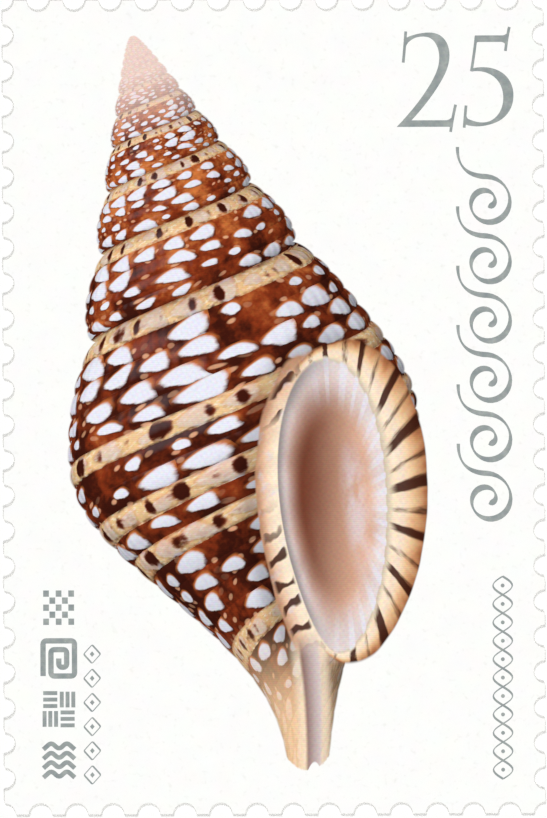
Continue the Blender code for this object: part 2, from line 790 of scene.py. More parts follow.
        dashes = board.noise(spot.turn * 34.0, cord * 5.0, 2.0, 1.0) - height * height * 0.55
        bars = (dashes + fray * 0.18).step(0.49, 0.59) * pale_cord
        bars = bars * (abs(height) + fray * 0.5).step(0.52, 0.26)
        return (
            self.ground(spot)
            .over(tan, band)
            .over(Ink.SALMON, self.specks(spot, spot.turn + sway * 0.10))
            .over(Ink.ORANGE, reach.step(1.8, 0.9) * shown * above * 0.85)
            .over(Ink.DARK_BROWN, reach.step(1.8, 1.0) * shown * (1 - above) * 0.8)
            .over(bloom, reach.step(1.18, 0.66) * shown)
            .over(Ink.RED_BROWN, bars)
            .over(Ink.DARK_BROWN, bars * dashes.step(0.50, 0.60))
        )

    def lit(self, along: Field, angle: Field) -> tuple[Field, Field]:
        """How the light falls on the shell.

        Args:
            along: The distance down the axis.
            angle: The angle round the axis.

        Returns:
            The light, from -1 to 1, and how far the surface faces the viewer.
        """
        here = self.radius(along, angle)
        slope = (self.radius(along + self.probe_down, angle) - here) / self.probe_down
        swing = self.radius(along, angle + self.probe_round) - here
        swing = swing / (here * self.probe_round)
        sine, cosine = angle.sine(), angle.cosine()
        right = sine - swing * cosine
        front = cosine + swing * sine
        size = (right * right + slope * slope + front * front).root()
        length = math.hypot(*self.light)
        to_right, up, to_front = (part / length for part in self.light)
        light = (right * to_right + slope * up + front * to_front) / size
        return light, front / size

    def draw(self, board: Board, along: Field, right: Field) -> tuple[Tint, Field]:
        """The printed whorls.

        Args:
            board: The material's node tree.
            along: The distance down the axis.
            right: The distance to the right of the axis.

        Returns:
            The colour, and the share of the paper that the shell covers.
        """
        edge = self.radius(along, right.sign() * QUARTER_TURN)
        aside = right - self.end_middle
        ragged = (board.grains(self.ragged_size, 12.0) - 0.5) * self.ragged_depth
        end = along + (aside * aside).at_most(self.end_reach) * self.end_roundness
        end = end + right * self.end_slant + ragged
        ends = end.step(self.length_shown + self.end_blur, self.length_shown - self.end_blur)
        cover = (edge - abs(right)).step(-self.edge_blur, self.edge_blur)
        cover = cover * ends * along.step(self.apex_gap, 0.03)

        rough_width = self.envelope(along) * (1 + self.swelling)
        first = (right / rough_width).arcsine()
        angle = (right / self.radius(along, first)).arcsine()
        _, down, turn = self.coil(along, angle)
        light, facing = self.lit(along, angle)
        shade = light.step(-0.45, 0.95) * self.light_swing + self.least_light
        shade = shade * (down.step(0.0, 0.13) * self.suture_shade + (1 - self.suture_shade))
        shade = shade * (facing.step(0.0, 0.55) * self.rim_shade + (1 - self.rim_shade))
        colour = (
            self.markings(Spot(board, along, angle, down, turn))
            .over(Ink.PEACH, along.step(25.5, 30.0) * 0.90)
            .shaded(shade)
            .over(Ink.WHITE, light.step(0.92, 1.03) * 0.06)
            .over(Ink.PINK, along.step(4.6, 1.2) * 0.88)
        )
        return colour, cover


@dataclass(frozen=True)
class Opening:
    """A place in or near the pictured shell's opening.

    Attributes:
        board: The material's node tree.
        across: The distance to the right of the opening's middle.
        down: The distance below the opening's middle.
        hole: How far out it lies, as a share of the opening's edge.
        lip: How far out it lies, as a share of the outer lip's edge.
        rim: How far out it lies, as a share of the inner lip's edge.
        angle: The angle round the opening.
        wave: Noise that changes slowly round the opening.
        ridges: The ridges that run in from the outer lip.
    """

    board: Board
    across: Field
    down: Field
    hole: Field
    lip: Field
    rim: Field
    angle: Field
    wave: Field
    ridges: Field


class Egg(Enum):
    """The egg shapes of the opening: two offsets from its middle, and growth in both sizes."""

    HOLE = (0.0, 0.0, 0.0, 0.0)
    OUTER_LIP = (0.62, 0.0, 1.22, 0.62)
    INNER_LIP = (-0.55, 0.25, 0.42, 0.75)
    SHADOW = (-0.25, 0.2, 1.35, 1.3)
    GLEAM = (0.95, 0.3, -1.55, -2.2)


@dataclass(frozen=True)
class Mouth:
    """The shell's opening, with its thick outer lip, glazed inner lip and canal."""

    centre: Point = (2.95, 21.6)
    half_width: float = 2.30
    half_length: float = 6.1
    slant: float = -0.17
    egg_shape: float = 0.14
    teeth: float = 34.0
    tooth_sway: float = 6.0
    canal_mark: float = 28.0
    canal_top: Point = (26.3, 27.6)
    canal_middle: float = 0.42
    canal_lean: float = 0.05
    canal_narrowing: float = 0.022
    notch_top: float = 31.92
    notch_roundness: float = 4.0
    notch_blur: float = 0.05

    def oval(self, egg: Egg, across: Field, down: Field) -> Field:
        """How far out a point lies, from 0 in the middle of an egg to 1 on its rim.

        Args:
            egg: The egg shape.
            across: The distance to the right of the opening's middle.
            down: The distance below the opening's middle.

        Returns:
            The distance, as a share of the egg's own radius.
        """
        to_right, to_down, wider, longer = egg.value
        y = (down - to_down) / (self.half_length + longer)
        x = (across - to_right) / ((1 - y * self.egg_shape) * (self.half_width + wider))
        return (x * x + y * y).root()

    def place(self, board: Board, along: Field, right: Field) -> Opening:
        """Where a point lies in or near the opening.

        Args:
            board: The material's node tree.
            along: The distance down the shell's axis.
            right: The distance to the right of the axis.

        Returns:
            The place.
        """
        down = along - self.centre[1]
        across = right - self.centre[0] - down * self.slant
        kinds = (Egg.HOLE, Egg.OUTER_LIP, Egg.INNER_LIP)
        hole, lip, rim = (self.oval(egg, across, down) for egg in kinds)
        even = math.sqrt(self.half_width / self.half_length)
        angle = (down * even).angle_from(across)
        wave = board.noise(angle * 3.0, 0.0, 4.0, 1.0) - 0.5
        ridges = (angle * self.teeth + wave * self.tooth_sway).cosine().step(0.0, 0.8)
        ridges = ridges * across.step(-0.8, 0.4)
        return Opening(board, across, down, hole, lip, rim, angle, wave, ridges)

    def outer_lip(self, at: Opening) -> Tint:
        """The thick lip: cream with dark bars, and rounded from its inner to its outer edge.

        Args:
            at: The place at the opening.

        Returns:
            The printed colour.
        """
        gap = (at.hole - 1.0).at_least(0.0)
        across = gap / (gap + (1 - at.lip).at_least(0.0) + 0.0001)
        pair = (at.angle * self.teeth + at.wave * self.tooth_sway).cosine()
        pair = pair + (at.angle * (self.teeth / 2) + at.wave * 9.0).cosine() * 0.38
        rag = (at.board.noise(at.angle * 30.0, across * 2.5, 8.0) - 0.5) * 1.4
        bars = (pair + rag).step(0.15, 1.05) * (across + rag * 0.14).step(0.06, 0.40)
        blush = at.board.noise(at.angle * 9.0, across * 2.0, 13.0) * 0.5 + across
        shade = across.step(0.0, 0.35) * 0.40 + 0.66 - across.step(0.60, 1.05) * 0.40
        crest = ((across * math.pi).sine() ** 8.0) * 0.28 * (1 - bars * 0.95)
        return (
            Tint(at.board, Ink.CREAM)
            .over(Ink.TAN, blush.step(0.35, 0.90) * 0.8)
            .over(Ink.ORANGE, blush.step(0.80, 1.30) * 0.75)
            .over(Ink.RED_BROWN, blush.step(1.10, 1.40) * 0.7)
            .over(Ink.DARK_BROWN, bars * 0.97)
            .shaded(shade)
            .over(Ink.WHITE, crest)
        )

    def glaze(self, at: Opening) -> Tint:
        """The smooth inner lip, with brown folds low down and near its top.

        Args:
            at: The place at the opening.

        Returns:
            The printed colour.
        """
        x, y = at.across * 1.6, at.down * 1.3
        uneven, wave = at.board.noise(x, y, 14.0, 4.0), at.board.noise(x, y, 14.0, 1.0)
        fold = (at.down * 5.6 + at.across * 2.1 + wave * 5.0 + uneven).cosine()
        where = at.down.step(-1.5, 1.5) * at.down.step(5.9, 5.1) + at.down.step(-3.6, -4.6)
        folds = (fold + uneven - 0.5).step(0.25, 0.85) * where
        folds = folds * at.rim.step(1.0, 0.93) * at.hole.step(1.0, 1.06)
        return (
            Tint(at.board, Ink.CREAM)
            .over(Ink.SALMON, (at.rim + uneven * 0.2).step(0.80, 1.12))
            .over(Ink.WHITE, uneven.step(0.52, 0.70) * 0.5)
            .over(Ink.DARK_BROWN, folds * 0.95)
            .shaded(at.rim.step(1.0, 0.86) * 0.34 + fold * 0.05 + 0.66)
        )

    def inside(self, at: Opening) -> Tint:
        """The smooth inside of the opening, deepest behind the inner lip.

        Args:
            at: The place at the opening.

        Returns:
            The printed colour.
        """
        across, down, hole = at.across, at.down, at.hole
        uneven = at.board.noise(across * 1.1, down * 0.55, 15.0, 4.0, 0.6)
        deep = 0.50 - across * 0.50 - down * 0.07 + uneven * 0.35
        grooves = (down * 2.6 - across * 1.2 + uneven * 4.0).cosine() * hole.step(0.3, 0.8)
        gleam = self.oval(Egg.GLEAM, across, down).step(1.0, 0.2)
        under_lip = hole.step(0.84, 1.0) * (across + down * 0.1).step(0.5, -1.6)
        return (
            Tint(at.board, Ink.LILAC)
            .over(Ink.SALMON, (hole + uneven * 0.3).step(1.1, 0.75) * 0.8)
            .over(Ink.DEEP_BROWN, deep.step(-0.35, 1.50) * hole.step(1.02, 0.55))
            .shaded(grooves * 0.05 + (uneven - 0.5) * 0.25 + 1.0)
            .over(Ink.WHITE, gleam * uneven.step(0.30, 0.60) * 0.45)
            .over(Ink.WHITE, at.ridges * hole.step(0.66, 0.95) * 0.6)
            .shaded(1 - under_lip * 0.60)
        )

    def draw(self, along: Field, right: Field, whorls: Tint, cover: Field) -> tuple[Tint, Field]:
        """Prints the opening over the whorls.

        Args:
            along: The distance down the shell's axis.
            right: The distance to the right of the axis.
            whorls: The whorls' colour.
            cover: The share of the paper that the whorls cover.

        Returns:
            The colour and cover of the whole shell.
        """
        at = self.place(along.board, along, right)
        shadow = self.oval(Egg.SHADOW, at.across, at.down).step(1.12, 0.92)
        glaze_cover = (at.rim + at.wave * 0.10).step(1.02, 0.98) * at.down.step(6.9, 5.3)
        lip_cover = (at.lip + at.wave * 0.05).step(1.012, 0.988) * at.across.step(-1.6, -0.2)
        hole_cover = (at.hole - at.ridges * 0.02).step(1.015, 0.985)

        past_mark = along - self.canal_mark
        middle = right - self.canal_middle + past_mark * self.canal_lean
        slot = abs(middle) + past_mark * self.canal_narrowing
        below = along.step(*self.canal_top) * (1 - hole_cover)
        throat = Tint(at.board, Ink.DEEP_BROWN).over(Ink.LILAC, middle.step(-0.70, 0.50) * 0.85)
        notch = along - self.notch_top - middle * middle * self.notch_roundness
        notch = notch.step(-self.notch_blur, self.notch_blur)
        colour = (
            whorls.shaded(1 - shadow * 0.35)
            .over(self.glaze(at), glaze_cover)
            .over(self.outer_lip(at), lip_cover)
            .over(self.inside(at), hole_cover)
            .over(Ink.CREAM, slot.step(0.95, 0.55) * below * 0.6)
            .over(throat, slot.step(0.50, 0.30) * below)
        )
        return colour, cover.at_least(lip_cover) * (1 - notch)


@dataclass(frozen=True)
class ShellPrint:
    """The picture: a spired sea shell in warm inks on the bare paper."""

    paper: Paper
    screen: Screen
    whorls: Whorls = field(default_factory=Whorls)
    mouth: Mouth = field(default_factory=Mouth)
    roughness: float = 0.46
    ink_height: float = 0.0008
    dot_depth: float = 0.05

    def material(self) -> bpy.types.Material:
        """The finish of the part of the face that holds the picture.

        Returns:
            The material.
        """
        board = Board("shell_print", self.paper.gloss)
        along, right = self.whorls.places(board)
        colour, cover = self.mouth.draw(along, right, *self.whorls.draw(board, along, right))
        colour = self.screen.over(board, colour, self.dot_depth)
        sheen = self.paper.sheen(board) - cover * (self.paper.roughness - self.roughness)
        relief = self.paper.relief(board) + cover * self.ink_height
        return board.finish(self.paper.tint(board).over(colour, cover), sheen, relief)


@dataclass(frozen=True)
class Pen:
    """A broad nib: strokes across its length are thick, and strokes along it are thin."""

    broad: float
    thin: float
    tilt: float = 0.0

    def half_width(self, direction: float) -> float:
        """Half the width of a stroke that runs in that direction."""
        turn = direction - math.radians(self.tilt)
        return math.hypot(self.broad * math.sin(turn), self.thin * math.cos(turn)) / 2

    def stroke(self, path: Sequence[Point]) -> Outline:
        """The outline of a stroke.

        Args:
            path: The points that the pen's middle goes through.

        Returns:
            The closed outline, counter-clockwise.
        """
        left, right = [], []
        last = len(path) - 1
        for number, (x, y) in enumerate(path):
            before, after = path[max(number - 1, 0)], path[min(number + 1, last)]
            direction = math.atan2(after[1] - before[1], after[0] - before[0])
            reach = self.half_width(direction)
            across = (-math.sin(direction) * reach, math.cos(direction) * reach)
            left.append((x + across[0], y + across[1]))
            right.append((x - across[0], y - across[1]))
        return right + left[::-1]


def round_pen(width: float) -> Pen:
    """A pen whose strokes have the same width in all directions."""
    return Pen(width, width)


def bend(start: Point, first: Point, second: Point, end: Point, steps: int = 18) -> Outline:
    """The points of a cubic curve.

    Args:
        start: Where the curve starts.
        first: The start's control point.
        second: The end's control point.
        end: Where the curve ends.
        steps: How many straight pieces it has.

    Returns:
        The points, both ends included.
    """
    points = []
    for step in range(steps + 1):
        t = step / steps
        shares = ((1 - t) ** 3, 3 * t * (1 - t) ** 2, 3 * t * t * (1 - t), t**3)
        pairs = list(zip(shares, (start, first, second, end)))
        x, y = (sum(share * corner[axis] for share, corner in pairs) for axis in (0, 1))
        points.append((x, y))
    return points


def placed(outline: Iterable[Point], at: Point, size: float = 1.0, turn: float = 0.0) -> Outline:
    """An outline, made larger, turned and moved.

    Args:
        outline: The outline's points.
        at: Where its origin goes.
        size: How many times larger it is made.
        turn: The degrees that it is turned by.

    Returns:
        The new points.
    """
    cosine, sine = math.cos(math.radians(turn)) * size, math.sin(math.radians(turn)) * size
    return [(at[0] + x * cosine - y * sine, at[1] + x * sine + y * cosine) for x, y in outline]


def toward(start: Point, end: Point, distance: float) -> Point:
    """The point at a distance from the start on the way to the end."""
    share = distance / math.dist(start, end)
    return (start[0] + (end[0] - start[0]) * share, start[1] + (end[1] - start[1]) * share)


def rounded(corners: Sequence[Point], radius: float) -> Outline:
    """A path of straight runs whose inner corners are rounded.

    Args:
        corners: The path's ends and corners.
        radius: How far from a corner its rounding starts.

    Returns:
        The path's points.
    """
    pull, pieces = 0.45, 4
    path = [corners[0]]
    for before, corner, after in zip(corners, corners[1:], corners[2:]):
        start, end = (toward(corner, point, radius) for point in (before, after))
        first, second = (toward(corner, point, radius * pull) for point in (before, after))
        path += bend(start, first, second, end, pieces)
    return path + [corners[-1]]


def hollow(corner: Point, first: Point, second: Point) -> Outline:
    """A hollow-sided wedge that fills a corner between two strokes.

    Args:
        corner: The corner.
        first: Where the wedge ends on one stroke.
        second: Where the wedge ends on the other stroke.

    Returns:
        The closed outline, counter-clockwise.
    """
    pull, pieces = 0.62, 6
    near = [
        tuple(end + (inner - end) * pull for end, inner in zip(point, corner))
        for point in (first, second)
    ]
    side = bend(first, near[0], near[1], second, pieces)
    turn = (first[0] - corner[0]) * (second[1] - corner[1])
    turn -= (first[1] - corner[1]) * (second[0] - corner[0])
    return [corner] + (side if turn > 0 else side[::-1])


@dataclass(frozen=True)
class Numerals:
    """The value at the top right, 25, in numerals with thick and thin strokes.

    A numeral is drawn 1 high and then made its real size.
    """

    height: float = 4.03
    width_share: float = 0.925
    two_at: Point = (5.446, 11.92)
    five_at: Point = (8.06, 11.92)
    pen: Pen = Pen(0.120, 0.034, 12.0)
    bar_depth: float = 0.070
    bar_slant: float = 0.004
    serif_pen: Pen = round_pen(0.032)
    serif_pieces: int = 6

    def bar(self, left: float, right: float, low: float, setback: float) -> Outline:
        """A level bar of the numerals, whose left end leans by that setback."""
        high = low + self.bar_depth
        return [(left, low), (right, low), (right + self.bar_slant, high), (left + setback, high)]

    def serif(self, *corners: Point) -> Outline:
        """A thin stroke of even width along the curve that those four points give."""
        return self.serif_pen.stroke(bend(*corners, self.serif_pieces))

    def two(self) -> list[Outline]:
        """The strokes of the 2, and the hollows that join its serifs to it.

        Returns:
            The outline of each.
        """
        bowl = bend((0.052, 0.900), (0.120, 0.955), (0.200, 0.975), (0.285, 0.975))
        bowl += bend((0.285, 0.975), (0.490, 0.975), (0.565, 0.760), (0.440, 0.535))[1:]
        bowl += bend((0.440, 0.535), (0.360, 0.385), (0.200, 0.190), (0.050, 0.048))[1:]
        return [
            self.pen.stroke(bowl),
            self.bar(-0.048, 0.596, 0.0, 0.074),
            self.serif((0.030, 0.680), (0.042, 0.790), (0.052, 0.900), (0.060, 1.010)),
            self.serif((0.570, -0.055), (0.582, 0.040), (0.602, 0.130), (0.628, 0.235)),
            hollow((0.052, 0.885), (0.043, 0.780), (0.135, 0.935)),
            hollow((0.596, 0.066), (0.500, 0.068), (0.616, 0.165)),
            hollow((0.584, 0.004), (0.520, 0.004), (0.575, -0.030)),
        ]

    def five(self) -> list[Outline]:
        """The strokes of the 5, and the hollows that join its serifs to it.

        Returns:
            The outline of each.
        """
        bowl = bend((0.108, 0.600), (0.330, 0.640), (0.530, 0.530), (0.530, 0.320))
        bowl += bend((0.530, 0.320), (0.530, 0.100), (0.300, -0.045), (0.036, 0.060))[1:]
        return [
            self.pen.stroke(bowl),
            self.bar(0.142, 0.515, 0.896, 0.008),
            self.serif((0.163, 0.958), (0.150, 0.830), (0.128, 0.700), (0.108, 0.586)),
            self.serif((0.498, 0.800), (0.508, 0.880), (0.522, 0.970), (0.543, 1.055)),
            self.serif((0.024, -0.010), (0.030, 0.060), (0.037, 0.140), (0.046, 0.225)),
            hollow((0.514, 0.900), (0.430, 0.898), (0.504, 0.830)),
            hollow((0.526, 0.962), (0.440, 0.964), (0.538, 1.030)),
            hollow((0.036, 0.072), (0.120, 0.046), (0.042, 0.175)),
            hollow((0.150, 0.900), (0.153, 0.845), (0.205, 0.898)),
        ]

    def outlines(self) -> list[Outline]:
        """The outlines of both numerals on the face.

        Returns:
            The outline of each stroke and hollow.
        """
        found = []
        for strokes, at in ((self.two(), self.two_at), (self.five(), self.five_at)):
            for stroke in strokes:
                narrow = [(x * self.width_share, y) for x, y in stroke]
                found.append(placed(narrow, at, self.height))
        return found


@dataclass(frozen=True)
class WaveBorder:
    """A running wave scroll down the right side, drawn with a broad pen.

    Each wave is drawn along +X with its crest towards +Y, and is then turned to run down.
    The curl's middle and reach and the foot's place are shares of its pitch or height.
    """

    ground: float = 7.86
    top: float = 10.20
    waves: int = 6
    pitch: float = 2.53
    height: float = 2.36
    curls: float = 1.42
    curl_middle: Point = (0.60, 0.53)
    curl_reach: float = 0.47
    tightness: float = 0.80
    eye: float = 0.13
    foot: float = 0.34
    foot_dip: float = 0.02
    back_rise: float = 0.35
    pieces: int = 46
    pen: Pen = Pen(0.265, 0.085, 28.0)

    def wave(self) -> Outline:
        """One wave: a long back that rises and curls in on itself.

        Returns:
            The closed outline.
        """
        middle = (self.pitch * self.curl_middle[0], self.height * self.curl_middle[1])
        reach = self.height * self.curl_reach
        curl = []
        for step in range(self.pieces + 1):
            share = step / self.pieces
            angle = math.pi - share * self.curls * FULL_TURN
            out = reach * (1 - share) ** self.tightness + self.eye * share
            curl.append((middle[0] + out * math.cos(angle), middle[1] + out * math.sin(angle)))
        start, dip = curl[0], self.foot_dip
        foot, rise = (-self.pitch * self.foot, 0.0), middle[1] * self.back_rise
        back = bend(foot, (0.0, -dip), (start[0] - dip, rise), start)
        return self.pen.stroke(back[:-1] + curl)

    def outlines(self) -> list[Outline]:
        """The waves, from the top down."""
        places = [(self.ground, self.top - number * self.pitch) for number in range(self.waves)]
        return [placed(self.wave(), at, 1.0, -90.0) for at in places]


@dataclass(frozen=True)
class BraidBorder:
    """A fine braid of two strands under the waves, with a bead in each of its eyes."""

    middle: float = 9.73
    top: float = -7.25
    loops: int = 11
    pitch: float = 0.785
    reach: float = 0.41
    pieces: int = 10
    bead: float = 0.085
    bead_corners: int = 12
    pen: Pen = Pen(0.095, 0.045, 60.0)

    def strand(self, side: float) -> Outline:
        """One strand.

        Args:
            side: 1 where it starts to the right, and -1 where it starts to the left.

        Returns:
            The closed outline.
        """
        steps = self.loops * self.pieces
        path = []
        for step in range(steps + 1):
            share = step / steps * self.loops
            across = self.reach * side * math.sin(share * math.pi)
            path.append((self.middle + across, self.top - share * self.pitch))
        return self.pen.stroke(path)

    def outlines(self) -> list[Outline]:
        """Both strands and the beads.

        Returns:
            The outline of each.
        """
        turns = [number * FULL_TURN / self.bead_corners for number in range(self.bead_corners)]
        ring = [(math.cos(turn), math.sin(turn)) for turn in turns]
        heights = [self.top - (number + 0.5) * self.pitch for number in range(self.loops)]
        beads = [placed(ring, (self.middle, height), self.bead) for height in heights]
        return [self.strand(1.0), self.strand(-1.0)] + beads


@dataclass(frozen=True)
class LozengeBorder:
    """A row of small lozenges beside the key patterns."""

    middle: float = -7.78
    top: float = -10.0
    count: int = 6
    pitch: float = 1.03
    half_width: float = 0.36
    half_height: float = 0.40
    corner: float = 0.06
    bead: Point = (0.10, 0.12)
    pen: Pen = Pen(0.074, 0.042, 40.0)

    def outlines(self) -> list[Outline]:
        """The lozenges and the small one inside each.

        Returns:
            The outline of each.
        """
        wide, tall = self.half_width, self.half_height
        start = (-wide / 2, tall / 2)
        ring = [start, (0.0, tall), (wide, 0.0), (0.0, -tall), (-wide, 0.0), start]
        outer = self.pen.stroke(rounded(ring, self.corner))
        wide, tall = self.bead
        inner = [(wide, 0.0), (0.0, tall), (-wide, 0.0), (0.0, -tall)]
        heights = [self.top - (number + 0.5) * self.pitch for number in range(self.count)]
        return [placed(shape, (self.middle, at)) for at in heights for shape in (outer, inner)]


Run = tuple[float, tuple[Point, ...]]


def bars(left: float, low: float, upright: bool) -> tuple[Run, ...]:
    """Three bars side by side in a quarter of the grid.

    Args:
        left: The quarter's left side.
        low: The quarter's lower side.
        upright: Whether the bars stand, or else lie.

    Returns:
        The width and path of each bar.
    """
    width, start, pitch, length = 0.170, 0.5, 2.2, 5.4
    found = []
    for place in (start + number * pitch for number in range(3)):
        ends = ((place, 0.0), (place, length)) if upright else ((0.0, place), (length, place))
        found.append((width, tuple((left + x, low + y) for x, y in ends)))
    return tuple(found)


def checks(odd_row: tuple[float, ...], even_row: tuple[float, ...]) -> tuple[Run, ...]:
    """Five rows of squares, each a short wide line.

    Args:
        odd_row: Where the squares of the first, third and fifth row are.
        even_row: Where those of the second and fourth row are.

    Returns:
        The width and path of each square.
    """
    width, half_length, heights = 0.27, 1.1, (1.2, 3.6, 6.0, 8.4, 10.8)
    rows = [even_row if number % 2 else odd_row for number in range(len(heights))]
    places = [(x, y) for y, row in zip(heights, rows) for x in row]
    return tuple((width, ((x - half_length, y), (x + half_length, y))) for x, y in places)


class Fret(Enum):
    """The key patterns: line widths in millimetres, and paths on a 12 by 12 grid."""

    CHECKS = checks((1.2, 6.0, 10.8), (3.6, 8.4))
    COIL = (
        (
            0.23,
            ((0, 0), (0, 12), (12, 12), (12, 0), (3, 0), (3, 9), (9, 9), (9, 3), (6, 3), (6, 6)),
        ),
    )
    WEAVE = bars(0, 6.6, False) + bars(6.6, 6.6, True) + bars(0, 0, True) + bars(6.6, 0, False)
    CHEVRONS = tuple(
        (0.20, ((0, low), (3, low + 2.4), (6, low), (9, low + 2.4), (12, low)))
        for low in (0, 3.2, 6.4, 9.6)
    )


@dataclass(frozen=True)
class FretBlocks:
    """Four small key-pattern blocks, one above the other, at the lower left."""

    left: float = -9.87
    top: float = -7.78
    pitch: float = 2.165
    width: float = 1.34
    height: float = 1.50
    grid: int = 12
    corner: float = 0.14

    def outlines(self) -> list[Outline]:
        """The lines of all four blocks.

        Returns:
            The outline of each line.
        """
        found = []
        for number, pattern in enumerate(Fret):
            base = self.top - number * self.pitch - self.height
            for line, run in pattern.value:
                path = [
                    (self.left + x / self.grid * self.width, base + y / self.grid * self.height)
                    for x, y in run
                ]
                found.append(round_pen(line).stroke(rounded(path, self.corner)))
        return found


class Layer(Enum):
    """The finishes of the sheet, in the order of its material slots."""

    PAPER = 0
    PICTURE = 1
    GREY_INK = 2
    EDGE = 3
    BACK = 4


@dataclass(frozen=True)
class EdgePoint:
    """A point of the perforated edge, with the direction that faces out of the paper."""

    place: Vector
    outward: Vector


@dataclass(frozen=True)
class Perforation:
    """The perforated outline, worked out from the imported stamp's width and height."""

    width: float
    height: float
    pitches_across: int = 15
    pitches_down: int = 23
    hole_radius: float = 0.48 * MM
    corner_radius: float = 0.06 * MM
    hole_segments: int = 28
    corner_segments: int = 5

    def arc(
        self, centre: Point, radius: float, start: float, end: float, segments: int, hollow: bool
    ) -> list[EdgePoint]:
        """Points of an arc with their outward directions.

        Args:
            centre: The arc's centre.
            radius: The arc's radius.
            start: The angle where it starts.
            end: The angle where it ends.
            segments: How many straight pieces it has.
            hollow: Whether the paper lies outside the arc, as round a hole.

        Returns:
            The points, both ends included.
        """
        found = []
        for step in range(segments + 1):
            angle = start + (end - start) * step / segments
            away = Vector((math.cos(angle), math.sin(angle)))
            found.append(EdgePoint(Vector(centre) + away * radius, -away if hollow else away))
        return found

    def tooth_corner(self, middle: float, start: float, end: float) -> list[EdgePoint]:
        """A tooth's rounded corner with its middle at that place, between those angles."""
        centre, radius = (middle, self.corner_radius), self.corner_radius
        return self.arc(centre, radius, start, end, self.corner_segments, False)

    def side(self, pitch: float, pitches: int) -> list[EdgePoint]:
        """One side along +X with the paper above it, from corner hole to corner hole.

        Args:
            pitch: The distance from hole to hole.
            pitches: How many pitches the side has.

        Returns:
            The side's points in order.
        """
        lean = math.asin(self.corner_radius / (self.hole_radius + self.corner_radius))
        offset = (self.hole_radius + self.corner_radius) * math.cos(lean)
        eighth = QUARTER_TURN / 2
        found: list[EdgePoint] = []
        for number in range(pitches + 1):
            middle = number * pitch
            is_first, is_last = number == 0, number == pitches
            if not is_first:
                found += self.tooth_corner(middle - offset, -QUARTER_TURN, -lean)
            start = eighth if is_first else math.pi - lean
            end = math.pi - eighth if is_last else lean
            segments = self.hole_segments // (2 if is_first or is_last else 1)
            wall = self.arc((middle, 0.0), self.hole_radius, start, end, segments, True)
            found += wall[:-1] if is_first else wall[1:-1]
            if not is_last:
                low = math.pi + QUARTER_TURN
                found += self.tooth_corner(middle + offset, math.pi + lean, low)
        return found

    def outline(self) -> list[EdgePoint]:
        """The whole edge, counter-clockwise from the lower left corner.

        Returns:
            The edge's points in order.
        """
        across = (self.width / self.pitches_across, self.pitches_across)
        down = (self.height / self.pitches_down, self.pitches_down)
        found = []
        for number, (x_side, y_side) in enumerate([(-1, -1), (1, -1), (1, 1), (-1, 1)]):
            turn = number * QUARTER_TURN
            right = Vector((math.cos(turn), math.sin(turn)))
            up = Vector((-math.sin(turn), math.cos(turn)))
            corner = Vector((x_side * self.width / 2, y_side * self.height / 2))
            for point in self.side(*(down if number % 2 else across)):
                place = corner + right * point.place.x + up * point.place.y
                outward = right * point.outward.x + up * point.outward.y
                found.append(EdgePoint(place, outward))
        return found


@dataclass(frozen=True)
class FacePlan:
    """What is where on the printed face, in millimetres from the middle of the stamp."""

    picture: tuple[Point, ...] = (
        (-8.3, 16.5),
        (-9.9, 5.0),
        (-9.9, -3.5),
        (0.4, -16.5),
        (4.9, -16.5),
        (7.35, -8.0),
        (7.35, 2.5),
        (2.2, 11.0),
        (-3.4, 16.5),
    )
    numerals: Numerals = field(default_factory=Numerals)
    waves: WaveBorder = field(default_factory=WaveBorder)
    braid: BraidBorder = field(default_factory=BraidBorder)
    lozenges: LozengeBorder = field(default_factory=LozengeBorder)
    frets: FretBlocks = field(default_factory=FretBlocks)

    def regions(self) -> list[tuple[Layer, Outline]]:
        """Each printed region's finish and outline.

        Returns:
            The picture first, and then the grey shapes.
        """
        makers = (self.numerals, self.waves, self.braid, self.lozenges, self.frets)
        grey = [outline for maker in makers for outline in maker.outlines()]
        return [(Layer.PICTURE, list(self.picture))] + [(Layer.GREY_INK, line) for line in grey]


@dataclass(frozen=True)
class BakeLayout:
    """Where the sheet's parts lie on the map that their finishes are baked to.

    The face and the back each have a corner and a size. The edge is laid out in strips, one
    above the other, and its rings lie above each other in each strip.
    """

    face: tuple[float, float, float] = (0.01, 0.01, 0.98)
    back: tuple[float, float, float] = (0.69, 0.50, 0.42)
    edge_corner: Point = (0.69, 0.02)
    strips: int = 8
    strip_length: float = 0.30
    strip_pitch: float = 0.03
    ring_pitch: float = 0.003

    def on_edge(self, vertex: int, first: int, count: int) -> Point:
        """Where a corner of one of the edge's faces lies on the map.

        Args:
            vertex: The number of the corner's vertex.
            first: The place in its ring of the face's first vertex.
            count: How many points one ring has.

        Returns:
            The place on the map.
        """
        level, number = divmod(vertex, count)
        along = first * self.strips / count % 1 + (number != first) * self.strips / count
        left, low = self.edge_corner
        low += int(first * self.strips / count) * self.strip_pitch
        return left + along * self.strip_length, low + level * self.ring_pitch


